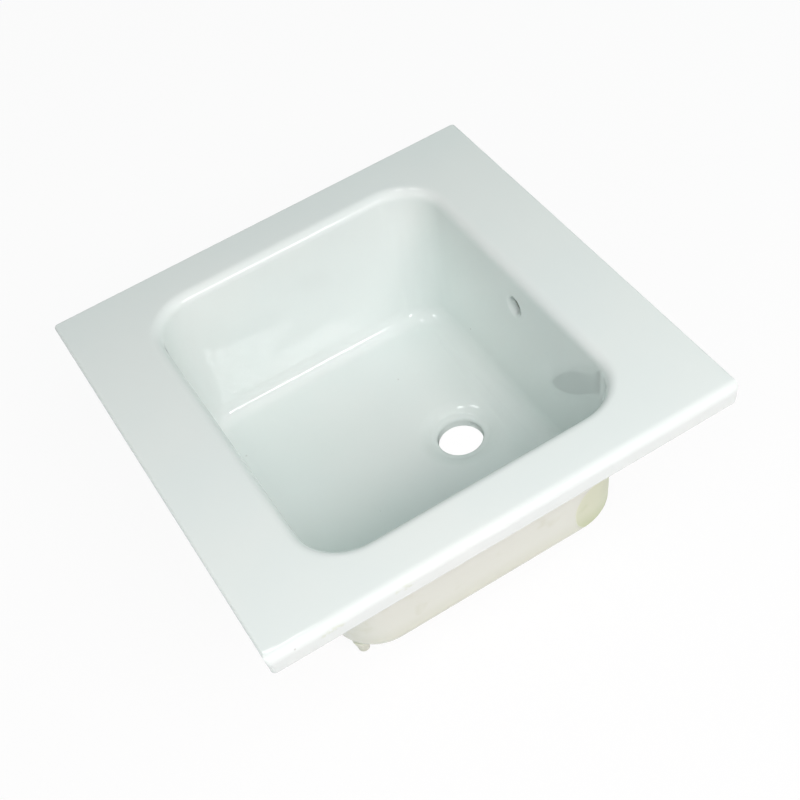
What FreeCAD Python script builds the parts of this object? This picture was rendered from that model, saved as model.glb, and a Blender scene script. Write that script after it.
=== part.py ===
"""Square inset ceramic sink: a glazed casting with stuck-on duct and feet, seal strips and fixing clamps.

Millimetres, +Z up. The origin is on the floor under the deck's centre, +X runs along the front edge
towards the overflow wall, and +Y runs from the rounded front nose to the back.
"""

import FreeCAD, Part
import math
import os

# Deck and its turned-down lip
deck_width = 600.0
deck_depth = 605.0
deck_corner_radius = 6.0
deck_thickness = 12.0
lip_height = 34.0
lip_wall = 17.0
lip_lean = 3.0
nose_radius = 11.0
nose_foot_radius = 6.0
nose_bite = 0.03
deck_edge_radius = 3.0
recess_corner_radius = 5.0
root_radius = 4.0

# Bowl, measured where its walls would meet the deck's top plane
bowl_side_margin = 101.0
bowl_front_margin = 71.0
bowl_back_margin = 66.0
bowl_depth = 212.0
bowl_corner_radius = 60.0
bowl_mouth_radius = 15.0
bowl_floor_radius = 25.0
bowl_heel_radius = 26.0
wall_thickness = 8.0
wall_slope = 0.08
floor_thickness = 20.0
floor_fall = 7.0

# Drain hole in its dished seat
drain_wall_distance = 109.5
drain_radius = 30.0
drain_edge_radius = 3.0
drain_dish_radius = 43.0
drain_dish_depth = 6.0
drain_dish_edge_radius = 10.0
drain_boss_radius = 48.0

# Overflow hole, the duct behind it and the slot that leads to the drain hole
overflow_radius = 14.0
overflow_edge_radius = 4.0
overflow_drop = 52.0
duct_width = 52.0
duct_reach = 24.0
duct_wall = 5.0
duct_floor_gap = 1.0
duct_bend_radius = 30.0
duct_head_room = 12.0
slot_width = 30.0
slot_height = 9.0
slot_floor = 5.0

# Feet under the left side of the bowl
foot_height = 8.0
foot_top_radius = 8.0
foot_base_radius = 6.0
foot_edge_radius = 2.0
foot_side_inset = 18.0
foot_end_inset = 29.0

# Foam seal strips under the lip
seal_width = 10.0
seal_thickness = 3.0
seal_inset = 6.5

# Fixing clamps: a plug in a ceramic boss, a screw with its washer, and a swinging bracket
clamp_edge_distance = 50.0
clamp_spacing = 300.0
clamp_boss_radius = 15.0
clamp_boss_height = 16.0
clamp_hole_radius = 6.0
clamp_hole_cover = 6.0
clamp_travel = 12.0
worktop_max = 40.0
plug_clearance = 0.05
plug_flange_radius = 9.0
plug_flange_thickness = 2.0
plug_end_gap = 2.0
screw_radius = 3.0
screw_clearance = 0.05
screw_point = 1.5
screw_head_radius = 6.0
screw_head_height = 4.0
screw_head_rounding = 1.5
screw_slot_width = 1.4
screw_slot_depth = 1.8
washer_radius = 7.5
washer_thickness = 1.2
bracket_thickness = 2.0
bracket_width = 24.0
bracket_heel = 21.0
bracket_toe = 48.0
bracket_toe_height = 8.0
bracket_bend_radius = 3.0
bracket_end_radius = 4.0
bracket_clearance = 0.1
bracket_seat_gap = 0.2
bracket_head_gap = 1.0

# Sizes and places that follow from the ones above
bowl_width = deck_width - 2 * bowl_side_margin
bowl_length = deck_depth - bowl_front_margin - bowl_back_margin
bowl_middle = (bowl_front_margin - bowl_back_margin) / 2
drain_offset = bowl_width / 2 - drain_wall_distance
bowl_base = foot_height
floor_edge = bowl_base + floor_thickness
drain_floor = floor_edge - floor_fall
drain_seat = drain_floor - drain_dish_depth
deck_top = floor_edge + bowl_depth
deck_underside = deck_top - deck_thickness
lip_foot = deck_top - lip_height
overflow_height = deck_top - overflow_drop
clamp_boss_foot = deck_underside - clamp_boss_height
clamp_hole_end = deck_top - clamp_hole_cover
plug_end = clamp_hole_end - plug_end_gap
plug_foot = clamp_boss_foot - plug_flange_thickness
bracket_underside = lip_foot - seal_thickness - worktop_max - bracket_toe_height
bracket_head = deck_underside - clamp_travel - bracket_head_gap
washer_underside = bracket_underside - bracket_seat_gap - washer_thickness

X = FreeCAD.Vector(1, 0, 0)
Y = FreeCAD.Vector(0, 1, 0)
UP = FreeCAD.Vector(0, 0, 1)


def point(x, y, z):
    """A point in space."""
    return FreeCAD.Vector(x, y, z)


def rounded_rectangle(length_x, length_y, radius, height, middle=0.0):
    """A level wire of four sides and four corner arcs about (0, middle), starting on the +X side."""
    lean = radius * (1 - math.sqrt(0.5))
    edges = []
    for quarter in range(4):
        turn = FreeCAD.Rotation(UP, 90 * quarter)
        sizes = (length_x, length_y) if quarter % 2 == 0 else (length_y, length_x)
        reach, half_side = sizes[0] / 2, sizes[1] / 2
        outline = [
            point(reach, radius - half_side, height),
            point(reach, half_side - radius, height),
            point(reach - lean, half_side - lean, height),
            point(reach - radius, half_side, height),
        ]
        side_start, side_end, corner_middle, corner_end = (turn.multVec(at) + Y * middle for at in outline)
        edges.append(Part.makeLine(side_start, side_end))
        edges.append(Part.Arc(side_end, corner_middle, corner_end).toShape())
    return Part.Wire(edges)


def cylinder(radius, low, high, x=0.0, y=0.0):
    """An upright cylinder between two heights."""
    return Part.makeCylinder(radius, high - low, point(x, y, low), UP)


def cone(low_radius, high_radius, low, high, x=0.0, y=0.0):
    """An upright cone between two heights."""
    return Part.makeCone(low_radius, high_radius, high - low, point(x, y, low), UP)


def box(x_span, y_span, z_span):
    """A block between two corners, from its three (low, high) spans."""
    lows, highs = zip(x_span, y_span, z_span)
    return Part.makeBox(*(high - low for low, high in zip(lows, highs)), point(*lows))


def level_edges(shape, height):
    """The edges of a shape that lie in one level plane."""
    return [
        edge
        for edge in shape.Edges
        if abs(edge.BoundBox.ZMin - height) < 1e-4 and abs(edge.BoundBox.ZMax - height) < 1e-4
    ]


def drain_rings(shape, radius, height):
    """The level circular edges of one radius about the drain's axis."""
    return [
        edge
        for edge in level_edges(shape, height)
        if isinstance(edge.Curve, Part.Circle)
        and abs(edge.Curve.Radius - radius) < 1e-3
        and abs(edge.Curve.Center.x - drain_offset) < 1e-3
    ]


def wall_inset(height):
    """How far the bowl's walls have leaned in, at a height, from where they meet the deck's top plane."""
    return (deck_top - height) * wall_slope


def bowl_section(outset, height):
    """The bowl's level section at a height, moved outwards by an outset."""
    grow = outset - wall_inset(height)
    width, length = bowl_width + 2 * grow, bowl_length + 2 * grow
    return rounded_rectangle(width, length, bowl_corner_radius + grow, height, bowl_middle)


def bowl_block(outset, low, high):
    """A tapering block that follows the bowl's walls between two heights."""
    return Part.makeLoft([bowl_section(outset, low), bowl_section(outset, high)], True, True)


def floor_dish():
    """The fall of the floor: flat sides and coned corners from the level floor's edge to the drain's ring."""
    slope_length = math.sqrt(1 + wall_slope**2)
    level_inset = bowl_floor_radius * (slope_length - wall_slope)
    rim = bowl_section(-level_inset, floor_edge)

    def ring_point(degrees):
        reach = FreeCAD.Rotation(UP, degrees).multVec(X * drain_dish_radius)
        return point(drain_offset, bowl_middle, drain_floor) + reach

    faces = [Part.Face(rim)]
    ring = []
    for quarter in range(4):
        side, corner = rim.Edges[2 * quarter], rim.Edges[2 * quarter + 1]
        start = 90 * quarter
        arc = Part.Arc(ring_point(start), ring_point(start + 45), ring_point(start + 90)).toShape()
        first, last = (vertex.Point for vertex in side.Vertexes)
        faces.append(Part.Face(Part.makePolygon([first, last, ring_point(start), first])))
        faces.append(Part.makeRuledSurface(corner, arc))
        ring.append(arc)
    faces.append(Part.Face(Part.Wire(ring)))
    shell = Part.makeShell(faces)
    shell.sewShape()
    return Part.makeSolid(shell)


def bowl_cavity():
    """The space inside the bowl, with its rounded floor edge and its fall to the drain."""
    walls = bowl_block(0.0, floor_edge, deck_top + bowl_mouth_radius)
    walls = walls.makeFillet(bowl_floor_radius, level_edges(walls, floor_edge))
    return walls.fuse(floor_dish())


def drain_cylinder(radius, low, high):
    """An upright cylinder about the drain's axis between two heights."""
    return cylinder(radius, low, high, drain_offset, bowl_middle)


def bowl_outside():
    """The bowl's outer form with its rounded heel, and the boss round the drain hole that it stands on."""
    outside = bowl_block(wall_thickness, bowl_base, deck_underside + deck_thickness / 2)
    outside = outside.makeFillet(bowl_heel_radius, level_edges(outside, bowl_base))
    return outside.fuse(drain_cylinder(drain_boss_radius, 0.0, floor_edge - floor_thickness / 2))


def deck_section(inset, radius, height):
    """The deck's level outline at a height, moved inwards by an inset."""
    return rounded_rectangle(deck_width - 2 * inset, deck_depth - 2 * inset, radius, height)


def front_rounding(radius, height, inset, face_direction):
    """What a rounding takes off the deck's front edge, between a level plane and the leaning face."""
    face_direction = face_direction.normalize()
    half_angle = Y.getAngle(face_direction) / 2
    tangent = radius / math.tan(half_angle)
    bisector = (Y + face_direction).normalize()
    corner = point(-deck_width, inset - deck_depth / 2, height) + bisector * nose_bite
    level_end = corner + Y * tangent
    face_end = corner + face_direction * tangent
    arc_middle = corner + bisector * (radius / math.sin(half_angle) - radius)
    outward = bisector * -radius
    outline = Part.Wire(
        [
            Part.Arc(level_end, arc_middle, face_end).toShape(),
            Part.makeLine(face_end, face_end + outward),
            Part.makeLine(face_end + outward, level_end + outward),
            Part.makeLine(level_end + outward, level_end),
        ]
    )
    return Part.Face(outline).extrude(X * 2 * deck_width)


def deck_plate():
    """The deck with its turned-down lip, which leans in below the edge, and its rounded front nose."""
    outlines = [
        deck_section(lip_lean, deck_corner_radius, lip_foot),
        deck_section(0.0, deck_corner_radius, deck_top),
    ]
    plate = Part.makeLoft(outlines, True, True)
    plate = plate.makeFillet(deck_edge_radius, level_edges(plate, deck_top) + level_edges(plate, lip_foot))
    down_face = point(0, lip_lean, -lip_height)
    plate = plate.cut(front_rounding(nose_radius, deck_top, 0.0, down_face))
    plate = plate.cut(front_rounding(nose_foot_radius, lip_foot, lip_lean, down_face * -1))
    recess = Part.Face(deck_section(lip_lean + lip_wall, recess_corner_radius, lip_foot))
    return plate.cut(recess.extrude(UP * (lip_height - deck_thickness)))


def clamp_places():
    """Each clamp's name with the x and y of its screw."""
    x = deck_width / 2 - clamp_edge_distance
    y = clamp_spacing / 2
    return [
        (f"{row}_{side}", at_x, at_y)
        for row, at_y in (("front", -y), ("back", y))
        for side, at_x in (("left", -x), ("right", x))
    ]


def overflow_wall():
    """The x of the bowl's right wall at the overflow hole's height."""
    return bowl_width / 2 - wall_inset(overflow_height)


def overflow_hole():
    """The round hole through the right wall."""
    reach = wall_thickness + overflow_edge_radius
    start = point(overflow_wall() - reach, bowl_middle, overflow_height)
    return Part.makeCylinder(overflow_radius, 2 * reach, start, X)


def overflow_slot():
    """The slot that carries overflow water under the floor into the drain hole."""
    return box(
        (drain_offset, bowl_width / 2),
        (bowl_middle - slot_width / 2, bowl_middle + slot_width / 2),
        (slot_floor, slot_floor + slot_height),
    )


def mouth_edges(body):
    """The edges where the bowl's walls meet the deck's top."""
    reach_x = (bowl_width + deck_width) / 4
    reach_y = bowl_length / 2 + bowl_back_margin / 2
    return [
        edge
        for edge in level_edges(body, deck_top)
        if abs(edge.BoundBox.Center.x) < reach_x and abs(edge.BoundBox.Center.y - bowl_middle) < reach_y
    ]


def overflow_edges(body):
    """The edge where the overflow hole opens into the bowl."""
    middle = point(overflow_wall(), bowl_middle, overflow_height)
    return [
        edge
        for edge in body.Edges
        if edge.BoundBox.Center.distanceToPoint(middle) < overflow_edge_radius
        and abs(edge.BoundBox.YLength - 2 * overflow_radius) < overflow_edge_radius
    ]


def sink_body():
    """The main casting: deck, lip, bowl and bosses in one piece."""
    body = deck_plate().fuse(bowl_outside())
    boss_root = deck_underside + deck_thickness / 4
    for _, x, y in clamp_places():
        body = body.fuse(cylinder(clamp_boss_radius, clamp_boss_foot, boss_root, x, y))
    body = body.removeSplitter()
    body = body.makeFillet(root_radius, level_edges(body, deck_underside))
    body = body.cut(bowl_cavity())
    body = body.makeFillet(bowl_mouth_radius, mouth_edges(body))
    dish = cone(drain_radius, drain_dish_radius, drain_seat, drain_floor, drain_offset, bowl_middle)
    body = body.cut(dish)
    body = body.cut(drain_cylinder(drain_radius, 0.0, floor_edge))
    body = body.makeFillet(drain_dish_edge_radius, drain_rings(body, drain_dish_radius, drain_floor))
    body = body.makeFillet(drain_edge_radius, drain_rings(body, drain_radius, drain_seat))
    body = body.cut(overflow_hole())
    body = body.makeFillet(overflow_edge_radius, overflow_edges(body))
    body = body.cut(overflow_slot())
    for _, x, y in clamp_places():
        body = body.cut(cylinder(clamp_hole_radius, clamp_boss_foot, clamp_hole_end, x, y))
    return body


def duct_profile(inset):
    """The duct's side outline: down the wall, round the bend and along under the floor to the drain."""
    outer = bowl_width / 2 + wall_thickness
    top_x = outer - wall_inset(overflow_height) + duct_reach - inset
    foot_x = outer - wall_inset(bowl_base) + duct_reach - inset
    top = overflow_height + overflow_radius + duct_head_room - inset
    foot = duct_floor_gap + inset
    bend = duct_bend_radius - inset
    lean = bend * (1 - math.sqrt(0.5))
    bend_start = point(foot_x, 0, foot + bend)
    bend_middle = point(foot_x - lean, 0, foot + lean)
    bend_end = point(foot_x - bend, 0, foot)
    inner_foot = point(drain_offset, 0, foot)
    inner_top = point(drain_offset, 0, top)
    outer_top = point(top_x, 0, top)
    return Part.Wire(
        [
            Part.makeLine(outer_top, bend_start),
            Part.Arc(bend_start, bend_middle, bend_end).toShape(),
            Part.makeLine(bend_end, inner_foot),
            Part.makeLine(inner_foot, inner_top),
            Part.makeLine(inner_top, outer_top),
        ]
    )


def overflow_duct(body_outside):
    """The cast channel that is stuck over the overflow hole and the slot, open towards the bowl."""
    parts = []
    for inset in (0.0, duct_wall):
        half = duct_width / 2 - inset
        profile = Part.Face(duct_profile(inset)).translated(Y * (bowl_middle - half))
        parts.append(profile.extrude(Y * 2 * half))
    return parts[0].cut(parts[1]).cut(body_outside)


def foot(y, body_outside):
    """A tapered foot stuck under the bowl's left heel, rounded at its base."""
    x = foot_side_inset - bowl_width / 2 - wall_thickness + wall_inset(bowl_base)
    nub = cone(foot_base_radius, foot_top_radius, 0.0, foot_height, x, y)
    nub = nub.makeFillet(foot_edge_radius, level_edges(nub, 0.0))
    collar = cylinder(foot_top_radius, foot_height, bowl_base + bowl_heel_radius, x, y)
    return nub.fuse(collar).cut(body_outside).removeSplitter()


def seals():
    """The four foam strips under the lip, butted at the corners."""
    inset = lip_lean + seal_inset
    outer_x, outer_y = deck_width / 2 - inset, deck_depth / 2 - inset
    inner_x, inner_y = outer_x - seal_width, outer_y - seal_width
    heights = (lip_foot - seal_thickness, lip_foot)
    return {
        "seal_front": box((-outer_x, outer_x), (-outer_y, -inner_y), heights),
        "seal_back": box((-outer_x, outer_x), (inner_y, outer_y), heights),
        "seal_left": box((-outer_x, -inner_x), (-inner_y, inner_y), heights),
        "seal_right": box((inner_x, outer_x), (-inner_y, inner_y), heights),
    }


def clamp_plug():
    """The nylon plug that fills the hole in the ceramic and takes the screw."""
    plug = cylinder(plug_flange_radius, plug_foot, clamp_boss_foot)
    plug = plug.fuse(cylinder(clamp_hole_radius - plug_clearance, clamp_boss_foot, plug_end))
    return plug.removeSplitter().cut(cylinder(screw_radius + screw_clearance, plug_foot, plug_end))


def clamp_screw():
    """The slotted screw, backed out by the clamp's whole travel."""
    tip = plug_end - clamp_travel
    head_foot = washer_underside - screw_head_height
    head = cylinder(screw_head_radius, head_foot, washer_underside)
    head = head.makeFillet(screw_head_rounding, level_edges(head, head_foot))
    slot = box(
        (-screw_head_radius, screw_head_radius),
        (-screw_slot_width / 2, screw_slot_width / 2),
        (head_foot, head_foot + screw_slot_depth),
    )
    shank = cylinder(screw_radius, washer_underside, tip)
    shank = shank.makeChamfer(screw_point, level_edges(shank, tip))
    return head.cut(slot).fuse(shank).removeSplitter()


def clamp_washer():
    """The flat washer on the screw's head."""
    top = washer_underside + washer_thickness
    washer = cylinder(washer_radius, washer_underside, top)
    return washer.cut(cylinder(screw_radius + screw_clearance, washer_underside, top))


def cross_edges(strip, height):
    """The edges of a strip that run straight across it at a height."""
    return [edge for edge in level_edges(strip, height) if edge.BoundBox.XLength < 1e-4]


def clamp_bracket():
    """The bent steel strip, its toe along +X: a heel that bears on the deck and a toe for the worktop."""
    half = bracket_width / 2
    top = bracket_underside + bracket_thickness
    toe_top = bracket_underside + bracket_toe_height
    outline = [
        (-bracket_heel, bracket_head),
        (-bracket_heel, bracket_underside),
        (bracket_toe, bracket_underside),
        (bracket_toe, toe_top),
        (bracket_toe - bracket_thickness, toe_top),
        (bracket_toe - bracket_thickness, top),
        (bracket_thickness - bracket_heel, top),
        (bracket_thickness - bracket_heel, bracket_head),
    ]
    corners = [point(x, -half, z) for x, z in outline]
    strip = Part.Face(Part.makePolygon(corners + corners[:1])).extrude(Y * bracket_width)
    strip = strip.makeFillet(bracket_bend_radius, cross_edges(strip, bracket_underside))
    strip = strip.makeFillet(bracket_bend_radius - bracket_thickness, cross_edges(strip, top))
    ends = [
        edge
        for edge in strip.Edges
        if edge.BoundBox.YLength < 1e-4
        and edge.BoundBox.ZLength < 1e-4
        and abs(edge.BoundBox.XLength - bracket_thickness) < 1e-4
        and edge.BoundBox.ZMin > toe_top - 1e-4
    ]
    strip = strip.makeFillet(bracket_end_radius, ends)
    return strip.cut(cylinder(screw_radius + bracket_clearance, bracket_underside, top))


def placed(shape, x, y, toe_degrees=0.0):
    """A clamp piece turned about its screw's axis and moved to its place."""
    shape = shape.copy()
    shape.Placement = FreeCAD.Placement(point(x, y, 0), FreeCAD.Rotation(UP, toe_degrees))
    return shape


def save(name, shape):
    """Writes one sub-part and prints what it measures."""
    shape.exportStep(os.path.join("parts", name + ".step"))
    size = shape.optimalBoundingBox(False, False)
    print(
        f"{name:22s} solids {len(shape.Solids)} valid {shape.isValid()} {shape.Volume / 1000:9.2f} cm3",
        f"x {size.XMin:.2f} {size.XMax:.2f} y {size.YMin:.2f} {size.YMax:.2f}",
        f"z {size.ZMin:.2f} {size.ZMax:.2f}",
    )


def main():
    """Builds and writes every sub-part."""
    os.makedirs("parts", exist_ok=True)
    outside = bowl_outside()
    save("sink_body", sink_body())
    save("overflow_duct", overflow_duct(outside))
    foot_reach = bowl_length / 2 + wall_thickness - wall_inset(bowl_base) - foot_end_inset
    save("foot_front_left", foot(bowl_middle - foot_reach, outside))
    save("foot_back_left", foot(bowl_middle + foot_reach, outside))
    for name, strip in seals().items():
        save(name, strip)
    for name, x, y in clamp_places():
        save(f"clamp_plug_{name}", placed(clamp_plug(), x, y))
        save(f"clamp_screw_{name}", placed(clamp_screw(), x, y))
        save(f"clamp_washer_{name}", placed(clamp_washer(), x, y))
        towards_middle = 90.0 if y < 0 else -90.0
        save(f"clamp_bracket_{name}", placed(clamp_bracket(), x, y, towards_middle))


main()
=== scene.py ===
"""Looks of the square ceramic sink: a glazed casting with its duct, feet, seal strips and clamps."""

import logging
import math
from dataclasses import dataclass
from enum import Enum
from typing import Any, Iterable, Sequence

import bmesh
import bpy
from bmesh.types import BMEdge, BMesh, BMFace, BMLayerItem, BMVert
from mathutils import Matrix, Vector

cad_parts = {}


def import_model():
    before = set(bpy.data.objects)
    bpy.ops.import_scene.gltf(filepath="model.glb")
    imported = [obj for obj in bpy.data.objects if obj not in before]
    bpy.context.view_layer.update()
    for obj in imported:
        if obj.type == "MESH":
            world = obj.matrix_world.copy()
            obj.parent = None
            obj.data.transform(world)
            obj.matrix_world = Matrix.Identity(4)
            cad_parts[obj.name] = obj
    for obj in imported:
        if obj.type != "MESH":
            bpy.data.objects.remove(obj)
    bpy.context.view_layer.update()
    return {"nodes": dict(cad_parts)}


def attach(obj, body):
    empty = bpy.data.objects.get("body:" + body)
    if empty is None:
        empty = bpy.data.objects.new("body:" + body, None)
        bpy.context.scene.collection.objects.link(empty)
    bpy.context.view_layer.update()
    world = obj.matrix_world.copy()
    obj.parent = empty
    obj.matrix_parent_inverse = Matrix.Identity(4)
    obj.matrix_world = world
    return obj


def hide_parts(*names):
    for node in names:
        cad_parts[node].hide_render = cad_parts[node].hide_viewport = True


LOG = logging.getLogger("sink")
MM = 0.001
# Places nearer to each other than this, in millimetres, count as one.
TOUCH = 0.01
Flat = Sequence[float]
Pair = tuple[float, float]
Spot = tuple[float, float, float]
Colour = tuple[float, float, float, float]


class Signal:
    """A value in a shader, which can be used in plain arithmetic."""

    def __init__(self, graph: "Graph", socket: bpy.types.NodeSocket) -> None:
        """Wraps one output socket.

        Args:
            graph: The node graph that owns the socket.
            socket: The output socket.
        """
        self.graph = graph
        self.socket = socket

    def _math(self, operation: str, *values: Any) -> "Signal":
        """Adds a Math node.

        Args:
            operation: The Math node's operation.
            values: Its inputs, numbers or signals.

        Returns:
            The node's result.
        """
        return self.graph.node("ShaderNodeMath", {"operation": operation}, dict(enumerate(values)))

    def __add__(self, other: Any) -> "Signal":
        """The sum."""
        return self._math("ADD", self, other)

    def __radd__(self, other: Any) -> "Signal":
        """The sum, from the right."""
        return self._math("ADD", other, self)

    def __sub__(self, other: Any) -> "Signal":
        """The difference."""
        return self._math("SUBTRACT", self, other)

    def __rsub__(self, other: Any) -> "Signal":
        """The difference, from the right."""
        return self._math("SUBTRACT", other, self)

    def __mul__(self, other: Any) -> "Signal":
        """The product."""
        return self._math("MULTIPLY", self, other)

    def __rmul__(self, other: Any) -> "Signal":
        """The product, from the right."""
        return self._math("MULTIPLY", other, self)

    def maximum(self, other: Any) -> "Signal":
        """The larger of two values."""
        return self._math("MAXIMUM", self, other)

    def between(self, low: float, high: float) -> "Signal":
        """Maps a range smoothly onto nought to one, and holds it there.

        Args:
            low: Value that becomes nought.
            high: Value that becomes one.

        Returns:
            The mapped value.
        """
        settings = {"interpolation_type": "SMOOTHSTEP"}
        inputs = {"Value": self, "From Min": low, "From Max": high}
        return self.graph.node("ShaderNodeMapRange", settings, inputs)


class Graph:
    """A node tree that is built from Python expressions."""

    def __init__(self, tree: bpy.types.NodeTree) -> None:
        """Empties a node tree for building.

        Args:
            tree: The tree of a material or a world.
        """
        self.tree = tree
        self.tree.nodes.clear()

    def node(
        self, kind: str, settings: dict[str, Any], inputs: dict[Any, Any], output: Any = 0
    ) -> Signal:
        """Adds a node.

        Args:
            kind: The node's type name.
            settings: Its properties.
            inputs: Values or signals for its inputs, by name or number.
            output: The output to give back, by name or number.

        Returns:
            The chosen output.
        """
        node = self.tree.nodes.new(kind)
        for name, value in settings.items():
            setattr(node, name, value)
        for name, value in inputs.items():
            socket = node.inputs[name]
            if isinstance(value, Signal):
                self.tree.links.new(value.socket, socket)
            else:
                socket.default_value = value
        if not node.outputs:
            return Signal(self, node.inputs[0])
        return Signal(self, node.outputs[output])

    def place(self) -> Signal:
        """The point being shaded, in the piece's own coordinates."""
        return self.node("ShaderNodeTexCoord", {}, {}, "Object")

    def distance(self, place: Signal, spot: Spot) -> Signal:
        """How far a point lies from a spot.

        Args:
            place: The point.
            spot: The spot.

        Returns:
            The distance.
        """
        return self.node("ShaderNodeVectorMath", {"operation": "DISTANCE"}, {0: place, 1: spot}, 1)

    def noise(self, place: Signal, scale: float, detail: float = 2.0) -> Signal:
        """A noise value about one half.

        Args:
            place: Where to read it.
            scale: Features per metre.
            detail: Octaves.

        Returns:
            The value.
        """
        return self.node("ShaderNodeTexNoise", {}, {"Vector": place, "Scale": scale, "Detail": detail})

    def blend(self, factor: Signal, first: Any, second: Any) -> Signal:
        """Mixes two colours.

        Args:
            factor: How much of the second to take.
            first: A colour or a colour signal.
            second: A colour or a colour signal.

        Returns:
            The mixed colour.
        """
        return self.node("ShaderNodeMix", {"data_type": "RGBA"}, {0: factor, 6: first, 7: second}, 2)

    def bump(self, height: Signal, strength: float, distance: float) -> Signal:
        """A bumped normal.

        Args:
            height: Height over the surface, from 0 to 1.
            strength: Share of the bump that shows.
            distance: Depth of the bump in metres.

        Returns:
            The normal.
        """
        inputs = {"Strength": strength, "Distance": distance, "Height": height}
        return self.node("ShaderNodeBump", {}, inputs)

    def surface(self, inputs: dict[str, Any]) -> None:
        """Ends a material in one Principled shader.

        Args:
            inputs: Values or signals for the shader's sockets.
        """
        shader = self.node("ShaderNodeBsdfPrincipled", {}, inputs)
        self.node("ShaderNodeOutputMaterial", {}, {0: shader})


def new_material(name: str) -> tuple[bpy.types.Material, Graph]:
    """Makes an empty node material.

    Args:
        name: Its name.

    Returns:
        The material and its graph.
    """
    material = bpy.data.materials.new(name)
    material.use_nodes = True
    return material, Graph(material.node_tree)


@dataclass(frozen=True)
class Glaze:
    """Glossy white glaze on fired clay, thin and warm on the underside, with one bare patch there."""

    colour: Colour = (0.735, 0.795, 0.770, 1.0)
    cool_colour: Colour = (0.715, 0.785, 0.765, 1.0)
    thin_colour: Colour = (0.700, 0.745, 0.670, 1.0)
    thin_shade: Colour = (0.640, 0.680, 0.570, 1.0)
    clay_colour: Colour = (0.640, 0.690, 0.530, 1.0)
    clay_shade: Colour = (0.520, 0.590, 0.380, 1.0)
    speck_colour: Colour = (0.300, 0.290, 0.260, 1.0)
    roughness: float = 0.03
    under_roughness: float = 0.12
    bare_roughness: float = 0.40
    refraction: float = 1.50
    cloud_scale: float = 22.0
    tone_scale: float = 4.0
    foot_heights: Pair = (0.060, 0.018)
    patch_middle: Spot = (0.167, -0.222, 0.058)
    patch_edge: Pair = (0.055, 0.053)
    patch_ragged: float = 0.008
    rubs: tuple[Spot, ...] = ((-0.224, -0.300, 0.227), (-0.136, -0.300, 0.227))
    rub_reach: Spot = (0.018, 0.020, 0.0055)
    rub_scale: float = 160.0
    rub_share: float = 0.30
    pit_scale: float = 16.0
    pit_edge: Pair = (0.022, 0.012)
    pins: tuple[Spot, ...] = ((-0.267, -0.301, 0.232), (-0.158, 0.141, 0.027), (0.205, -0.120, 0.2395))
    pin_edge: Pair = (0.0016, 0.0008)
    pin_share: float = 0.6
    speck_share: float = 0.6
    ripple_scale: float = 9.0
    ripple_strength: float = 0.30
    ripple_depth: float = 0.0016
    grain_scale: float = 260.0
    grain_share: float = 0.03

    def make(self) -> bpy.types.Material:
        """Builds the material.

        Returns:
            The glaze.
        """
        material, graph = new_material("white_glaze")
        place = graph.place()
        height = graph.node("ShaderNodeSeparateXYZ", {}, {0: place}, "Z")
        under = graph.node("ShaderNodeAttribute", {"attribute_name": "underside"}, {}, "Fac")
        cloud = graph.noise(place, self.cloud_scale, 3.0)
        tone = graph.noise(place, self.tone_scale, 3.0).between(0.35, 0.65)
        away = graph.distance(place, self.patch_middle) + self.patch_ragged * cloud
        bare = under * away.between(*self.patch_edge)
        foot = height.between(*self.foot_heights).maximum(cloud.between(0.55, 0.75))
        pits = graph.node("ShaderNodeTexVoronoi", {}, {"Vector": place, "Scale": self.pit_scale}, 0)
        speck = pits.between(*self.pit_edge)
        for pin in self.pins:
            speck = speck.maximum(self.pin_share * graph.distance(place, pin).between(*self.pin_edge))
        rub = self._rubbed(graph, place)
        thin = graph.blend(foot, self.thin_colour, self.thin_shade)
        clay = graph.blend(foot, self.clay_colour, self.clay_shade)
        colour = graph.blend(tone, self.colour, self.cool_colour)
        colour = graph.blend(under, colour, thin)
        colour = graph.blend(bare, colour, clay)
        colour = graph.blend(rub * self.rub_share, colour, self.clay_shade)
        colour = graph.blend(speck * self.speck_share, colour, self.speck_colour)
        grain = self.grain_share * graph.noise(place, self.grain_scale, 2.0)
        ripple = graph.noise(place, self.ripple_scale, 1.0) + grain
        graph.surface(
            {
                "Base Color": colour,
                "Roughness": self.roughness + self.under_roughness * under + self.bare_roughness * bare,
                "IOR": self.refraction,
                "Normal": graph.bump(ripple, self.ripple_strength, self.ripple_depth),
            }
        )
        return material

    def _rubbed(self, graph: Graph, place: Signal) -> Signal:
        """Where the glaze is rubbed thin on the nose.

        Args:
            graph: The material's graph.
            place: The point being shaded.

        Returns:
            One in a mark and nought elsewhere.
        """
        share = tuple(1 / reach for reach in self.rub_reach)
        scaled = graph.node("ShaderNodeVectorMath", {"operation": "MULTIPLY"}, {0: place, 1: share})
        middles = [tuple(part * scale for part, scale in zip(rub, share)) for rub in self.rubs]
        marks, *others = [graph.distance(scaled, middle).between(1.0, 0.6) for middle in middles]
        for other in others:
            marks = marks.maximum(other)
        return marks * graph.noise(place, self.rub_scale, 4.0).between(0.40, 0.62)


@dataclass(frozen=True)
class Biscuit:
    """Bare fired clay with a thin wash of glaze."""

    colour: Colour = (0.670, 0.710, 0.610, 1.0)
    shade: Colour = (0.590, 0.630, 0.520, 1.0)
    cloud_scale: float = 30.0
    grain_scale: float = 900.0
    grain_depth: float = 0.0004

    def make(self) -> bpy.types.Material:
        """Builds the material.

        Returns:
            The bare clay.
        """
        material, graph = new_material("bare_clay")
        place = graph.place()
        cloud = graph.noise(place, self.cloud_scale, 4.0).between(0.3, 0.7)
        grain = graph.noise(place, self.grain_scale, 3.0)
        graph.surface(
            {
                "Base Color": graph.blend(cloud, self.colour, self.shade),
                "Roughness": 0.35 + 0.3 * cloud,
                "Normal": graph.bump(grain, 0.3, self.grain_depth),
            }
        )
        return material


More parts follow.
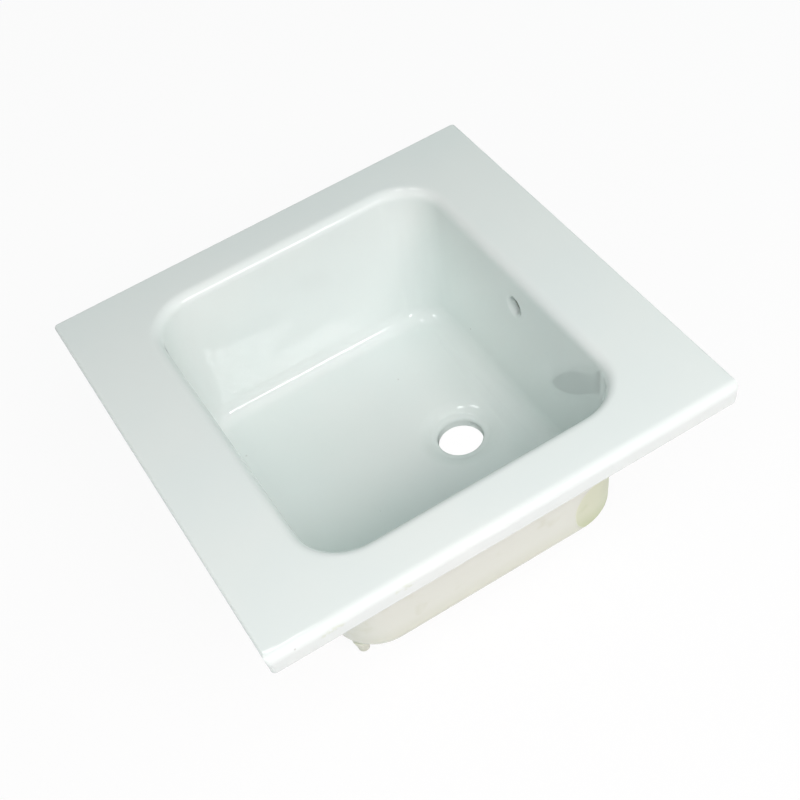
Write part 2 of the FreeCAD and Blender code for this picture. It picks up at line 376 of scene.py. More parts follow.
@dataclass(frozen=True)
class Foam:
    """Black closed-cell foam."""

    colour: Colour = (0.030, 0.030, 0.032, 1.0)
    shade: Colour = (0.055, 0.055, 0.058, 1.0)
    cloud_scale: float = 60.0
    cell_scale: float = 900.0
    cell_depth: float = 0.0005

    def make(self) -> bpy.types.Material:
        """Builds the material.

        Returns:
            The foam.
        """
        material, graph = new_material("sealing_foam")
        place = graph.place()
        cells = graph.node("ShaderNodeTexVoronoi", {}, {"Vector": place, "Scale": self.cell_scale}, 0)
        cloud = graph.noise(place, self.cloud_scale, 3.0)
        graph.surface(
            {
                "Base Color": graph.blend(cloud, self.colour, self.shade),
                "Roughness": 0.80 + 0.15 * cloud,
                "Normal": graph.bump(cells, 0.6, self.cell_depth),
            }
        )
        return material


@dataclass(frozen=True)
class Nylon:
    """Milky moulded nylon."""

    colour: Colour = (0.720, 0.715, 0.660, 1.0)
    shade: Colour = (0.660, 0.650, 0.590, 1.0)
    glow: float = 0.15
    glow_reach: Spot = (0.004, 0.004, 0.003)
    cloud_scale: float = 120.0
    grain_scale: float = 1500.0
    grain_depth: float = 0.0002

    def make(self) -> bpy.types.Material:
        """Builds the material.

        Returns:
            The nylon.
        """
        material, graph = new_material("milky_nylon")
        place = graph.place()
        cloud = graph.noise(place, self.cloud_scale, 3.0)
        grain = graph.noise(place, self.grain_scale)
        graph.surface(
            {
                "Base Color": graph.blend(cloud, self.colour, self.shade),
                "Roughness": 0.32 + 0.15 * cloud,
                "Subsurface Weight": self.glow,
                "Subsurface Radius": self.glow_reach,
                "Normal": graph.bump(grain, 0.15, self.grain_depth),
            }
        )
        return material


class Plating(Enum):
    """Surface of a steel piece, as (name, colour, roughness)."""

    BRIGHT = ("bright_zinc", (0.660, 0.670, 0.660, 1.0), 0.24)
    DIPPED = ("dipped_zinc", (0.560, 0.570, 0.570, 1.0), 0.38)


@dataclass(frozen=True)
class Steel:
    """Zinc-coated steel."""

    plating: Plating
    dull_share: float = 0.78
    dull_scale: float = 90.0
    flake_scale: float = 260.0
    grain_scale: float = 700.0
    grain_depth: float = 0.0002

    def make(self) -> bpy.types.Material:
        """Builds the material.

        Returns:
            The steel.
        """
        name, colour, roughness = self.plating.value
        material, graph = new_material(name)
        place = graph.place()
        flakes = graph.node("ShaderNodeTexVoronoi", {}, {"Vector": place, "Scale": self.flake_scale}, 1)
        grain = graph.noise(place, self.grain_scale, 3.0)
        dull = graph.noise(place, self.dull_scale, 4.0).between(0.35, 0.70)
        dark = tuple(self.dull_share * part for part in colour[:3]) + (1.0,)
        graph.surface(
            {
                "Base Color": graph.blend(dull, colour, dark),
                "Metallic": 1.0,
                "Roughness": roughness + 0.12 * dull + 0.06 * flakes,
                "Normal": graph.bump(grain, 0.12, self.grain_depth),
            }
        )
        return material


@dataclass(frozen=True)
class Rounding:
    """How a corner of a flat outline is rounded.

    Attributes:
        radius: Radius of the rounding.
        steps: Segments of the rounding.
        lead: Distance to one more point on each side, which holds the flats flat.
    """

    radius: float
    steps: int
    lead: float

    def points(self, corner: Flat, first: Flat, second: Flat) -> list[Pair]:
        """Rounds a corner.

        Args:
            corner: The sharp corner.
            first: Direction from the corner back along the first side.
            second: Direction from the corner on along the second side.

        Returns:
            Points from the first side to the second.
        """
        tip, back, ahead = Vector(corner), Vector(first).normalized(), Vector(second).normalized()
        half = back.angle(ahead) / 2
        tangent = self.radius / math.tan(half)
        middle = tip + (back + ahead).normalized() * self.radius / math.sin(half)
        start, end = tip + back * tangent, tip + ahead * tangent
        points = [start + back * self.lead]
        for step in range(self.steps + 1):
            reach = (start - middle).slerp(end - middle, step / self.steps)
            points.append(middle + reach * self.radius)
        points.append(end + ahead * self.lead)
        return [(point.x, point.y) for point in points]


@dataclass(frozen=True)
class Level:
    """One closed loop of the casting: a rounded rectangle, level except for its front side."""

    half_x: float
    front: float
    back: float
    radius: float
    height: float
    front_height: float


@dataclass
class Casting:
    """The glazed main casting: deck, lip, nose, bowl, drain and overflow. Sizes in millimetres.

    The outside's first glazed_loops loops and the drain's rings above its first boss_rings carry the full
    glaze. Loops at a distance of hold from an edge keep it sharp.
    """

    deck_width: float = 600.0
    deck_depth: float = 605.0
    deck_corner: float = 6.0
    deck_top: float = 240.0
    deck_underside: float = 228.0
    lip_foot: float = 206.0
    lip_lean: float = 3.0
    lip_wall: float = 17.0
    edge_rounding: Rounding = Rounding(3.0, 6, 1.5)
    nose_rounding: Rounding = Rounding(11.0, 6, 1.5)
    sole_rounding: Rounding = Rounding(3.0, 5, 1.0)
    nose_foot_rounding: Rounding = Rounding(6.0, 5, 1.0)
    recess_corner: float = 5.0
    least_corner: float = 1.0
    recess_rounding: Rounding = Rounding(2.0, 3, 0.8)
    root_rounding: Rounding = Rounding(4.0, 4, 1.0)
    bowl_width: float = 398.0
    bowl_length: float = 468.0
    bowl_middle: float = 2.5
    bowl_corner: float = 60.0
    mouth_rounding: Rounding = Rounding(15.0, 8, 2.0)
    toe_rounding: Rounding = Rounding(25.0, 8, 3.0)
    heel_rounding: Rounding = Rounding(26.0, 7, 2.0)
    heel_easing: float = 12.0
    easing_steps: int = 4
    wall: float = 8.0
    slope: float = 0.08
    base: float = 8.0
    floor_edge: float = 28.0
    floor_fall: float = 0.03
    floor_cuts: int = 5
    floor_passes: int = 6
    drain_floor: float = 21.6
    drain_seat: float = 15.0
    drain_offset: float = 89.5
    drain_radius: float = 30.0
    drain_foot_rounding: Rounding = Rounding(1.0, 2, 0.5)
    drain_rim_rounding: Rounding = Rounding(5.0, 6, 0.5)
    seat_radius: float = 38.5
    seat_height: float = 16.6
    seat_rounding: Rounding = Rounding(8.0, 3, 0.5)
    dish_radius: float = 48.0
    dish_fall: float = 0.12
    dish_rounding: Rounding = Rounding(40.0, 7, 0.5)
    boss_radius: float = 48.0
    boss_root_rounding: Rounding = Rounding(2.0, 3, 0.6)
    boss_foot_rounding: Rounding = Rounding(1.5, 3, 0.6)
    overflow_height: float = 188.0
    overflow_mouth: float = 12.5
    overflow_throat: float = 10.5
    overflow_outside: float = 16.0
    overflow_rounding: Rounding = Rounding(6.0, 6, 0.5)
    overflow_collar: float = 2.5
    overflow_patch: float = 23.0
    slot_low: float = 5.0
    slot_high: float = 10.3
    slot_angle: float = 30.0
    slot_length: float = 45.0
    glazed_loops: int = 17
    boss_rings: int = 12
    corner_segments: int = 12
    side_cuts: int = 6
    patch_cuts: int = 5
    clamp_x: float = 250.0
    clamp_y: float = 150.0
    clamp_boss_radius: float = 15.0
    clamp_boss_foot: float = 212.0
    clamp_hole_radius: float = 6.0
    clamp_hole_end: float = 234.0
    clamp_root_rounding: Rounding = Rounding(4.0, 4, 0.8)
    clamp_foot_rounding: Rounding = Rounding(1.5, 3, 0.5)
    clamp_rim_rounding: Rounding = Rounding(0.5, 2, 0.3)
    clamp_window: float = 42.0
    clamp_cuts: int = 7
    hold: float = 0.6

    def build(self) -> bpy.types.Object:
        """Models the casting.

        Returns:
            The finished object.
        """
        mesh = bmesh.new()
        underside = mesh.verts.layers.float.new("underside")
        outside = [self._level_loop(mesh, level) for level in self._outer_levels()]
        under = [self._ring(mesh, radius, height) for radius, height in self._drain_rings()]
        inside = [self._level_loop(mesh, level) for level in self._inner_levels()]
        for loop in outside[self.glazed_loops :] + under[: self.boss_rings]:
            mark(loop, underside)
        loops = outside + under + inside
        strips = self._join(mesh, [*loops, loops[0]], Vector((0, 0, 1)))
        self._fair_floor(mesh, strips[len(outside) + len(under) - 1])
        bmesh.ops.recalc_face_normals(mesh, faces=mesh.faces[:])
        self._open_overflow(mesh)
        self._open_slot(mesh)
        for x in (-self.clamp_x, self.clamp_x):
            for y in (-self.clamp_y, self.clamp_y):
                self._clamp_boss(mesh, x, y)
        bmesh.ops.recalc_face_normals(mesh, faces=mesh.faces[:])
        bmesh.ops.scale(mesh, vec=Vector((MM, MM, MM)), verts=mesh.verts[:])
        piece = finished("glazed_casting", mesh)
        rounding = piece.modifiers.new("rounding", "SUBSURF")
        rounding.levels = rounding.render_levels = 1
        return piece

    def dress(self, piece: bpy.types.Object, glaze: bpy.types.Material) -> None:
        """Glazes the casting and ties it to the frame.

        Args:
            piece: The casting.
            glaze: Its material.
        """
        piece.data.materials.append(glaze)
        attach(piece, "sink")
        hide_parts("sink_body")

    def _face_inset(self, height: float) -> float:
        """How far the lip's leaning face lies inside the deck's edge at a height."""
        return self.lip_lean * (self.deck_top - height) / (self.deck_top - self.lip_foot)

    def _deck_level(self, side: Pair, front: Pair) -> Level:
        """A loop of the deck's outside.

        Args:
            side: Inset and height along the sides and the back.
            front: Inset and height along the front.

        Returns:
            The loop.
        """
        inset, height = side
        front_inset, front_height = front
        radius = self.deck_corner - (inset - self._face_inset(height))
        half_x, half_y = self.deck_width / 2, self.deck_depth / 2
        return Level(half_x - inset, front_inset - half_y, half_y - inset, radius, height, front_height)

    def _recess_level(self, inset: float, height: float) -> Level:
        """A loop of the recess under the deck.

        Args:
            inset: Distance inside the deck's edge.
            height: Its height.

        Returns:
            The loop.
        """
        radius = max(self.recess_corner - (inset - self.lip_lean - self.lip_wall), self.least_corner)
        half_y = self.deck_depth / 2 - inset
        return Level(self.deck_width / 2 - inset, -half_y, half_y, radius, height, height)

    def _bowl_level(self, outset: float, height: float, easing: float = 0.0) -> Level:
        """A loop of the bowl.

        Args:
            outset: Distance outside the bowl's opening.
            height: Its height.
            easing: How much larger its corners are.

        Returns:
            The loop.
        """
        half_y = self.bowl_length / 2 + outset
        low, high = self.bowl_middle - half_y, self.bowl_middle + half_y
        radius = self.bowl_corner + outset + easing
        return Level(self.bowl_width / 2 + outset, low, high, radius, height, height)

    def _outset(self, height: float) -> float:
        """How far the wall's inside lies outside the bowl's opening, so below nought under the deck."""
        return -self.slope * (self.deck_top - height)

    def _patch_heights(self) -> list[float]:
        """Heights of the loops about the overflow hole, from below."""
        low, steps = self.overflow_height - self.overflow_patch, self.patch_cuts + 1
        return [low + 2 * self.overflow_patch * step / steps for step in range(steps + 1)]

    def _outer_levels(self) -> list[Level]:
        """The loops from the deck's top edge round the lip, under the deck and down the bowl's outside.

        Returns:
            The loops in order.
        """
        lean = Vector((self.lip_lean, self.lip_foot - self.deck_top))
        inner = self.lip_lean + self.lip_wall
        crowns = (self.edge_rounding, self.nose_rounding)
        soles = (self.sole_rounding, self.nose_foot_rounding)
        crown = [rounding.points((0, self.deck_top), (1, 0), lean) for rounding in crowns]
        sole = [rounding.points((self.lip_lean, self.lip_foot), -lean, (1, 0)) for rounding in soles]
        recess = self.recess_rounding.points((inner, self.lip_foot), (-1, 0), (0, 1))
        recess += self.root_rounding.points((inner, self.deck_underside), (0, -1), (1, 0))
        root_corner = (self._outset(self.deck_underside) + self.wall, self.deck_underside)
        root = self.root_rounding.points(root_corner, (1, 0), (-self.slope, -1))
        heel_corner = (self._outset(self.base) + self.wall, self.base)
        heel = self.heel_rounding.points(heel_corner, (self.slope, 1), (-1, 0))
        levels = [self._deck_level(side, front) for side, front in [*zip(*crown), *zip(*sole)]]
        levels += [self._recess_level(*at) for at in recess]
        levels += [self._bowl_level(*at) for at in root]
        for height in reversed(self._patch_heights()):
            levels.append(self._bowl_level(self._outset(height) + self.wall, height))
        for step, at in enumerate(heel):
            levels.append(self._bowl_level(*at, self.heel_easing * min(step / self.easing_steps, 1.0)))
        return levels

    def _drain_rings(self) -> list[Pair]:
        """The rings of the drain's boss, hole and dish, from the base up to the floor.

        Returns:
            Radius and height of each ring.
        """
        rim = Vector((self.drain_radius, self.drain_seat))
        seat = Vector((self.seat_radius, self.seat_height))
        edge = Vector((self.dish_radius, self.drain_floor))
        rings = self.boss_root_rounding.points((self.boss_radius, self.base), (1, 0), (0, -1))
        rings += self.boss_foot_rounding.points((self.boss_radius, 0), (0, 1), (-1, 0))
        rings += self.drain_foot_rounding.points((self.drain_radius, 0), (1, 0), (0, 1))
        rings += [(self.drain_radius, self.slot_low), (self.drain_radius, self.slot_high)]
        rings += self.drain_rim_rounding.points(rim, (0, -1), seat - rim)
        rings += self.seat_rounding.points(seat, rim - seat, edge - seat)
        return rings + self.dish_rounding.points(edge, seat - edge, (1, self.dish_fall))

    def _inner_levels(self) -> list[Level]:
        """The loops from the floor's edge up the bowl's inside to the deck's top.

        Returns:
            The loops in order.
        """
        toe_corner = (self._outset(self.floor_edge), self.floor_edge)
        toe = self.toe_rounding.points(toe_corner, (-1, -self.floor_fall), (self.slope, 1))
        patch = [(self._outset(height), height) for height in self._patch_heights()]
        mouth = self.mouth_rounding.points((0, self.deck_top), (-self.slope, -1), (1, 0))
        return [self._bowl_level(*at) for at in [*toe, *patch, *mouth]]

    def _level_loop(self, mesh: BMesh, level: Level) -> list[BMEdge]:
        """Makes one rounded rectangle of edges.

        Args:
            mesh: Where to make it.
            level: Its sizes.

        Returns:
            Its edges.
        """
        corners = bmesh.ops.create_grid(mesh, x_segments=1, y_segments=1, size=0.5)["verts"]
        size = Vector((2 * level.half_x, level.back - level.front, 1))
        bmesh.ops.scale(mesh, vec=size, verts=corners)
        middle = Vector((0, (level.back + level.front) / 2, level.height))
        bmesh.ops.translate(mesh, vec=middle, verts=corners)
        rounded = bmesh.ops.bevel(
            mesh,
            geom=corners,
            offset=level.radius,
            offset_type="OFFSET",
            segments=self.corner_segments,
            profile=0.5,
            affect="VERTICES",
            material=-1,
        )
        face = rounded["verts"][0].link_faces[0]
        sides = sorted(face.edges, key=BMEdge.calc_length)[-4:]
        bmesh.ops.subdivide_edges(mesh, edges=sides, cuts=self.side_cuts)
        halfway = [edge for edge in face.edges if self._is_halfway(edge, middle)]
        bmesh.ops.subdivide_edges(mesh, edges=halfway, cuts=self.patch_cuts)
        for vert in face.verts:
            share = (level.front + level.radius - vert.co.y) / level.radius
            vert.co.z += (level.front_height - level.height) * min(max(share, 0.0), 1.0)
        edges = list(face.edges)
        bmesh.ops.delete(mesh, geom=[face], context="FACES_ONLY")
        return edges

    @staticmethod
    def _is_halfway(edge: BMEdge, middle: Vector) -> bool:
        """Whether an edge lies halfway along a side.

        Args:
            edge: An edge of a rounded rectangle.
            middle: The rectangle's middle.

        Returns:
            True halfway along a side.
        """
        first, second = edge.verts
        away = (first.co + second.co) / 2 - middle
        return min(abs(away.x), abs(away.y)) < TOUCH

    def _ring(self, mesh: BMesh, radius: float, height: float) -> list[BMEdge]:
        """Makes one ring of edges about the drain.

        Args:
            mesh: Where to make it.
            radius: Its radius.
            height: Its height.

        Returns:
            Its edges.
        """
        count = 4 * (self.corner_segments + 1 + self.side_cuts + self.patch_cuts)
        place = Matrix.Translation((self.drain_offset, self.bowl_middle, height))
        return circle(mesh, count, radius, place @ Matrix.Rotation(math.pi / count, 4, "Z"))

    def _join(self, mesh: BMesh, loops: Sequence[list[BMEdge]], axis: Vector) -> list[list[BMFace]]:
        """Joins each loop to the next.

        The loops are pulled apart meanwhile, so that neighbours pair up the right way round.

        Args:
            mesh: The casting.
            loops: The loops in order.
            axis: Direction that the loops surround.

        Returns:
            The faces made after each loop.
        """
        homes = {}
        for step, loop in enumerate(loops):
            verts = list({vert for edge in loop for vert in edge.verts if vert not in homes})
            homes.update({vert: vert.co.copy() for vert in verts})
            bmesh.ops.translate(mesh, vec=axis * self.deck_width * step, verts=verts)
        pairs = zip(loops, loops[1:])
        strips = [bmesh.ops.bridge_loops(mesh, edges=first + second)["faces"] for first, second in pairs]
        for vert, home in homes.items():
            vert.co = home
        return strips

    def _fair_floor(self, mesh: BMesh, strip: Sequence[BMFace]) -> None:
        """Divides the floor between the drain's dish and the bowl's foot, and eases it.

        Args:
            mesh: The casting.
            strip: The floor's faces.
        """
        edges = {edge for face in strip for edge in face.edges}
        inner = set(strip)
        across = [edge for edge in edges if all(face in inner for face in edge.link_faces)]
        made = bmesh.ops.subdivide_edges(mesh, edges=across, cuts=self.floor_cuts)["geom_inner"]
        verts = [item for item in made if isinstance(item, BMVert)]
        for _ in range(self.floor_passes):
            bmesh.ops.smooth_vert(mesh, verts=verts, factor=0.5, use_axis_z=True)

    def _open_overflow(self, mesh: BMesh) -> None:
        """Cuts the overflow hole through the right wall and rounds its edge.

        Args:
            mesh: The casting.
        """
        across = self.bowl_width / 2 + self._outset(self.overflow_height)
        middle = Vector((across, self.bowl_middle, self.overflow_height))
        inner = self._window(mesh, middle)
        outer = self._window(mesh, middle + Vector((self.wall, 0, 0)))
        end, throat, rim = self.wall + self.overflow_collar, self.overflow_throat, self.overflow_outside
        taper = (throat - self.overflow_mouth, end)
        path = self.overflow_rounding.points((self.overflow_mouth, 0), (1, 0), taper)
        path[-1:] = [(throat, end - self.hold), (throat + self.hold, end), (rim, end), (rim, self.wall)]
        lean = Matrix.Rotation(math.pi / 2 + math.atan(self.slope), 4, "Y")
        loops = [inner]
        for radius, depth in path:
            place = Matrix.Translation(middle + Vector((depth, 0, 0)))
            loops.append(circle(mesh, len(inner), radius, place @ lean))
        self._join(mesh, [*loops, outer], Vector((1, 0, 0)))
        bmesh.ops.recalc_face_normals(mesh, faces=mesh.faces[:])

    def _window(self, mesh: BMesh, middle: Vector) -> list[BMEdge]:
        """Cuts a square window into one side of the wall.

        Args:
            mesh: The casting.
            middle: The window's middle.

        Returns:
            The window's edges.
        """
        pane = set()
        for face in mesh.faces:
            away = face.calc_center_median() - middle
            if abs(away.x) < self.wall / 2 and max(abs(away.y), abs(away.z)) < self.overflow_patch:
                pane.add(face)
        return cut_out(mesh, pane)

    def _open_slot(self, mesh: BMesh) -> None:
        """Opens the overflow's slot in the wall of the drain hole.

        Args:
            mesh: The casting.
        """
        window = []
        for face in mesh.faces:
            away = face.calc_center_median() - Vector((self.drain_offset, self.bowl_middle, 0))
            angle = abs(math.degrees(math.atan2(away.y, away.x)))
            near = abs(away.xy.length - self.drain_radius) < 1.0 and angle < self.slot_angle
            if near and self.slot_low < away.z < self.slot_high:
                window.append(face)
        made = bmesh.ops.extrude_face_region(mesh, geom=window)["geom"]
        bmesh.ops.delete(mesh, geom=window, context="FACES")
        verts = [item for item in made if isinstance(item, BMVert)]
        bmesh.ops.translate(mesh, vec=Vector((self.slot_length, 0, 0)), verts=verts)

    def _clamp_boss(self, mesh: BMesh, x: float, y: float) -> None:
        """Draws a boss for a clamp out of the deck's underside, with its blind hole.

        Args:
            mesh: The casting.
            x: Its place across.
            y: Its place along.
        """
        radius, foot = self.clamp_boss_radius, self.clamp_boss_foot
        hole, end = self.clamp_hole_radius, self.clamp_hole_end
        outline = self.clamp_root_rounding.points((radius, self.deck_underside), (1, 0), (0, -1))
        outline += self.clamp_foot_rounding.points((radius, foot), (0, 1), (-1, 0))
        outline += self.clamp_rim_rounding.points((hole, foot), (1, 0), (0, 1))
        outline += [(hole, end - self.hold), (hole, end), (hole - self.hold, end)]
        underside = mesh.verts.layers.float["underside"]
        loops = [self._under_window(mesh, Vector((x, y, self.deck_underside)))]
        for reach, height in outline:
            loops.append(circle(mesh, len(loops[0]), reach, Matrix.Translation((x, y, height))))
            mark(loops[-1], underside)
        self._join(mesh, loops, Vector((0, 0, -1)))
        bmesh.ops.contextual_create(mesh, geom=loops[-1])

    def _under_window(self, mesh: BMesh, middle: Vector) -> list[BMEdge]:
        """Cuts a square window into the deck's underside.

        Args:
            mesh: The casting.
            middle: The window's middle.

        Returns:
            The window's edges.
        """
        half = self.clamp_window / 2
        for axis in (Vector((1, 0, 0)), Vector((0, 1, 0))):
            for spot in (middle - axis * half, middle + axis * half):
                faces = [face for face in mesh.faces if self._lies_under(face, middle)]
                geom = list({item for face in faces for item in (face, *face.edges, *face.verts)})
                bmesh.ops.bisect_plane(mesh, geom=geom, dist=TOUCH / 10, plane_co=spot, plane_no=axis)
        pane = set()
        for face in mesh.faces:
            away = face.calc_center_median() - middle
            if self._lies_under(face, middle) and max(abs(away.x), abs(away.y)) < half:
                pane.add(face)
        border = cut_out(mesh, pane)
        split = bmesh.ops.subdivide_edges(mesh, edges=border, cuts=self.clamp_cuts)["geom_split"]
        return [item for item in split if isinstance(item, BMEdge)]

    def _lies_under(self, face: BMFace, middle: Vector) -> bool:
        """Whether a face lies in the deck's underside and reaches into a clamp's window.

        Args:
            face: The face.
            middle: The window's middle.

        Returns:
            True for such a face.
        """
        half = self.clamp_window / 2
        spots = [vert.co - middle for vert in face.verts]
        across, along = [spot.x for spot in spots], [spot.y for spot in spots]
        level = max(abs(spot.z) for spot in spots) < TOUCH
        return level and all(min(places) < half and max(places) > -half for places in (across, along))


def circle(mesh: BMesh, count: int, radius: float, place: Matrix) -> list[BMEdge]:
    """Makes a circle of edges.

    Args:
        mesh: Where to make it.
        count: How many edges it has.
        radius: Its radius.
        place: Where it lies and how it is turned.

    Returns:
        Its edges.
    """
    verts = bmesh.ops.create_circle(mesh, segments=count, radius=radius, matrix=place)["verts"]
    return list({edge for vert in verts for edge in vert.link_edges})


def cut_out(mesh: BMesh, pane: set[BMFace]) -> list[BMEdge]:
    """Takes some faces out of a surface.

    Args:
        mesh: The surface.
        pane: The faces.

    Returns:
        The edges about the gap.
    """
    edges = {edge for face in pane for edge in face.edges}
    border = [edge for edge in edges if not all(face in pane for face in edge.link_faces)]
    bmesh.ops.delete(mesh, geom=list(pane), context="FACES")
    return border


def mark(loop: Iterable[BMEdge], layer: BMLayerItem) -> None:
    """Marks the vertices of a loop.

    Args:
        loop: The loop's edges.
        layer: The layer that holds the mark.
    """
    for edge in loop:
        for vert in edge.verts:
            vert[layer] = 1.0


def spun_outline(mesh: BMesh, outline: Sequence[Pair], steps: int) -> None:
    """Turns an outline that starts and ends on the Z axis about it, as a solid.

    Args:
        mesh: Where to make it, which is empty.
        outline: Radius and height of each corner.
        steps: Segments of the turn.
    """
    verts = [mesh.verts.new((radius, 0, height)) for radius, height in outline]
    edges = [mesh.edges.new(pair) for pair in zip(verts, verts[1:])]
    bmesh.ops.spin(
        mesh,
        geom=verts + edges,
        cent=Vector(),
        axis=Vector((0, 0, 1)),
        angle=2 * math.pi,
        steps=steps,
        use_merge=True,
    )
    bmesh.ops.remove_doubles(mesh, verts=mesh.verts[:], dist=TOUCH / 10)
    bmesh.ops.recalc_face_normals(mesh, faces=mesh.faces[:])


def finished(name: str, mesh: BMesh) -> bpy.types.Object:
    """Turns a bmesh into a smooth piece at the origin.

    Args:
        name: The piece's name.
        mesh: Its shape, which is freed.

    Returns:
        The piece.
    """
    for face in mesh.faces:
        face.smooth = True
    data = bpy.data.meshes.new(name)
    mesh.to_mesh(data)
    mesh.free()
    piece = bpy.data.objects.new(name, data)
    bpy.context.scene.collection.objects.link(piece)
    return piece


@dataclass
class Foot:
    """A foot that is drawn out of the soft clay under the bowl's left heel. Sizes in millimetres."""

    node: str
    y: float
    x: float = -170.44
    steps: int = 40
    outline: tuple[Pair, ...] = (
        (0.0, 0.0),
        (4.2, 0.0),
        (6.0, 0.5),
        (7.0, 1.8),
        (7.2, 3.5),
        (7.4, 6.0),
        (8.0, 9.0),
        (8.8, 12.5),
        (9.8, 16.5),
        (11.0, 21.0),
        (9.5, 22.0),
        (0.0, 22.0),
    )

    def build(self) -> bpy.types.Object:
        """Models the foot.

        Returns:
            The finished object.
        """
        mesh = bmesh.new()
        spun_outline(mesh, self.outline, self.steps)
        bmesh.ops.translate(mesh, vec=Vector((self.x, self.y, 0)), verts=mesh.verts[:])
        bmesh.ops.scale(mesh, vec=Vector((MM, MM, MM)), verts=mesh.verts[:])
        return finished(f"drawn_{self.node}", mesh)

    def dress(self, piece: bpy.types.Object, clay: bpy.types.Material) -> None:
        """Colours the foot and ties it to the frame.

        Args:
            piece: The foot.
            clay: Its material.
        """
        piece.data.materials.append(clay)
        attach(piece, "sink")
        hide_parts(self.node)


@dataclass
class Fittings:
    """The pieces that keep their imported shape: duct, seals and clamps."""

    corners: tuple[str, ...] = ("front_left", "front_right", "back_left", "back_right")
    sides: tuple[str, ...] = ("front", "back", "left", "right")

    def dress(self, nodes: dict[str, bpy.types.Object], clay: bpy.types.Material) -> None:
        """Gives each piece its finish.

        Args:
            nodes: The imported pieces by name.
            clay: The duct's material.
        """
        foam, nylon = Foam().make(), Nylon().make()
        bright, dipped = Steel(Plating.BRIGHT).make(), Steel(Plating.DIPPED).make()
        self._paint(nodes, ("overflow_duct",), clay)
        self._paint(nodes, [f"seal_{side}" for side in self.sides], foam)
        self._paint(nodes, [f"clamp_plug_{corner}" for corner in self.corners], nylon)
        self._paint(nodes, [f"clamp_screw_{corner}" for corner in self.corners], bright)
        self._paint(nodes, [f"clamp_washer_{corner}" for corner in self.corners], bright)
        self._paint(nodes, [f"clamp_bracket_{corner}" for corner in self.corners], dipped)

    @staticmethod
    def _paint(
        nodes: dict[str, bpy.types.Object], names: Iterable[str], material: bpy.types.Material
    ) -> None:
        """Puts one material on several pieces.

        Args:
            nodes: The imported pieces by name.
            names: The ones to paint.
            material: Their material.
        """
        for name in names:
            data = nodes[name].data
            data.materials.clear()
            data.materials.append(material)
            LOG.info("%s: %s", name, material.name)


@dataclass(frozen=True)
class Lamp:
    """A soft lamp that points at the sink, with its size in metres and its power in watts.

    One that glints only shows as a mirror image, and any other only lights.
    """

    name: str
    place: Spot
    size: Pair
    power: float
    colour: Spot = (1.0, 1.0, 1.0)
    glint: bool = False
    target: Spot = (0.0, 0.0, 0.15)

    def build(self) -> None:
        """Adds the lamp to the scene."""
        lamp = bpy.data.lights.new(self.name, "AREA")
        lamp.shape = "ELLIPSE" if self.glint else "RECTANGLE"
        lamp.size, lamp.size_y = self.size
        lamp.energy = self.power
        lamp.color = self.colour
        holder = bpy.data.objects.new(self.name, lamp)
        holder.location = self.place
        holder.visible_camera = False
        holder.visible_diffuse = not self.glint
        holder.visible_glossy = self.glint
        aim = Vector(self.target) - Vector(self.place)
        holder.rotation_euler = aim.to_track_quat("-Z", "Y").to_euler()
        bpy.context.scene.collection.objects.link(holder)


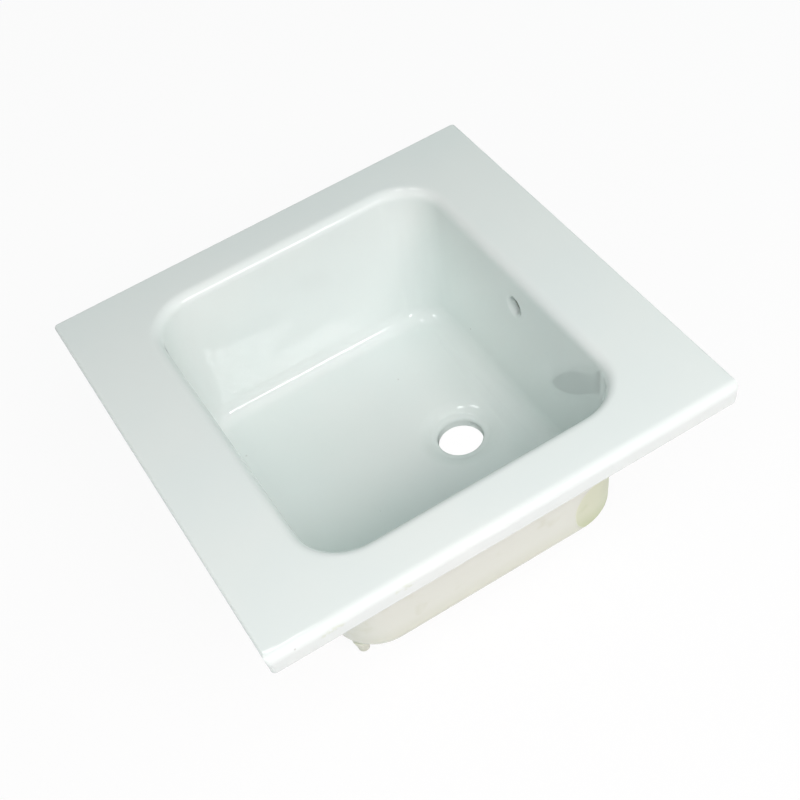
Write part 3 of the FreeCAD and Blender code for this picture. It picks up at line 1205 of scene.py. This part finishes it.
@dataclass
class Studio:
    """White floor, soft lamps, and the camera of the photograph."""

    camera_at: Spot = (-0.408776, -1.150454, 1.491049)
    camera_right: Spot = (0.8506316, -0.5014731, -0.1579576)
    camera_up: Spot = (0.4706931, 0.5924957, 0.6537560)
    camera_back: Spot = (-0.2342518, -0.6304551, 0.7400355)
    lens: float = 66.575
    sensor: float = 36.0
    sky: Colour = (0.93, 1.0, 0.98, 1.0)
    sky_strength: float = 0.02
    white: Colour = (1.0, 1.0, 1.0, 1.0)
    floor_half: float = 40.0
    floor_height: float = -0.0005
    floor_colour: Colour = (0.80, 0.80, 0.80, 1.0)
    floor_shadow: float = 0.07
    # Painted shadow: the floor under the drain is painted dark, and only mirror images show it.
    painted_shadow_at: Spot = (0.0895, 0.0025, 0.0)
    painted_shadow_edge: Pair = (0.032, 0.044)
    painted_shadow_colour: Colour = (0.02, 0.02, 0.02, 1.0)
    lamps: tuple[Lamp, ...] = (
        Lamp("high_lamp", (0.208, -1.477, 2.25), (2.4, 1.8), 39.0, (0.94, 1.0, 0.99)),
        Lamp("front_lamp", (0.426, -2.004, 1.721), (1.4, 1.0), 28.8, (1.0, 0.76, 0.80)),
        Lamp("left_lamp", (-1.408, -1.408, 1.791), (2.4, 1.8), 19.5),
        Lamp("side_lamp", (-2.261, -0.399, 1.341), (1.4, 1.0), 10.0),
        Lamp("right_lamp", (2.243, 0.196, 1.42), (2.4, 1.6), 13.0, (0.66, 1.0, 0.93)),
        Lamp("rear_lamp", (-0.3, 2.7, 0.40), (3.0, 0.7), 16.0),
        Lamp("glint_front", (0.515, -1.922, 1.462), (0.6, 0.22), 6.5, glint=True),
        Lamp("glint_top", (-0.14, 0.15, 2.4), (0.34, 0.34), 2.2, glint=True),
        Lamp("glint_back", (-0.25, 0.83, 2.4), (0.34, 0.34), 2.2, glint=True),
        Lamp("glint_left", (-1.781, 0.156, 1.567), (0.4, 0.4), 4.5, glint=True),
    )

    def build(self) -> None:
        """Makes the whole studio."""
        self._world()
        self._floor()
        for lamp in self.lamps:
            lamp.build()
        self._camera()
        bpy.context.scene.view_settings.view_transform = "Standard"

    def _world(self) -> None:
        """A pale even sky, which shows white."""
        world = bpy.data.worlds.new("studio")
        bpy.context.scene.world = world
        world.use_nodes = True
        graph = Graph(world.node_tree)
        seen = self._seen(graph)
        sky = graph.node("ShaderNodeBackground", {}, {"Color": self.sky, "Strength": self.sky_strength})
        white = graph.node("ShaderNodeBackground", {}, {"Color": self.white, "Strength": 1.0})
        mixed = graph.node("ShaderNodeMixShader", {}, {0: seen, 1: sky, 2: white})
        graph.node("ShaderNodeOutputWorld", {}, {0: mixed})

    @staticmethod
    def _seen(graph: Graph, mirrored: Any = 1.0) -> Signal:
        """Where the background shows white.

        Args:
            graph: The graph of the floor or the world.
            mirrored: Share of it that mirror images and glass show.

        Returns:
            One for rays from the camera, mirror images and glass, and nought for light.
        """
        camera = graph.node("ShaderNodeLightPath", {}, {}, "Is Camera Ray")
        outputs = camera.socket.node.outputs
        glossy = Signal(graph, outputs["Is Glossy Ray"])
        clear = Signal(graph, outputs["Is Transmission Ray"])
        return camera.maximum(glossy.maximum(clear) * mirrored)

    def _floor(self) -> None:
        """A wide white floor that keeps a faint shadow, with a painted shadow under the drain that only
        mirror images show.
        """
        mesh = bmesh.new()
        bmesh.ops.create_grid(mesh, x_segments=1, y_segments=1, size=self.floor_half)
        floor = finished("studio_floor", mesh)
        floor.location.z = self.floor_height
        material, graph = new_material("white_floor")
        lit = graph.distance(graph.place(), self.painted_shadow_at).between(*self.painted_shadow_edge)
        # Painted shadow: glossy rays see the floor painted dark under the drain, in place of the shade
        # under the sink.
        painted_shadow_in_mirror = graph.node("ShaderNodeLightPath", {}, {}, "Is Glossy Ray") * (1.0 - lit)
        colour = graph.blend(painted_shadow_in_mirror, self.floor_colour, self.painted_shadow_colour)
        paint = graph.node("ShaderNodeBsdfDiffuse", {}, {"Color": colour})
        seen = self._seen(graph, lit) * (1.0 - self.floor_shadow * lit)
        white = graph.node("ShaderNodeEmission", {}, {"Color": self.white, "Strength": 1.0})
        mixed = graph.node("ShaderNodeMixShader", {}, {0: seen, 1: paint, 2: white})
        graph.node("ShaderNodeOutputMaterial", {}, {0: mixed})
        floor.data.materials.append(material)

    def _camera(self) -> None:
        """Adds the camera and makes it the scene's."""
        data = bpy.data.cameras.new("photo_camera")
        data.sensor_width = self.sensor
        data.lens = self.lens
        camera = bpy.data.objects.new("photo_camera", data)
        turn = Matrix((self.camera_right, self.camera_up, self.camera_back)).transposed().to_4x4()
        camera.matrix_world = Matrix.Translation(self.camera_at) @ turn
        bpy.context.scene.collection.objects.link(camera)
        bpy.context.scene.camera = camera


def main() -> None:
    """Builds the sink and the studio."""
    logging.basicConfig(level=logging.INFO, format="%(name)s %(message)s")
    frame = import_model()
    casting = Casting()
    piece = casting.build()
    casting.dress(piece, Glaze().make())
    LOG.info("%s: %d faces", piece.name, len(piece.data.polygons))
    clay = Biscuit().make()
    for foot in (Foot("foot_front_left", -191.94), Foot("foot_back_left", 196.94)):
        foot.dress(foot.build(), clay)
    Fittings().dress(frame["nodes"], clay)
    Studio().build()


if __name__ == "__main__":
    main()
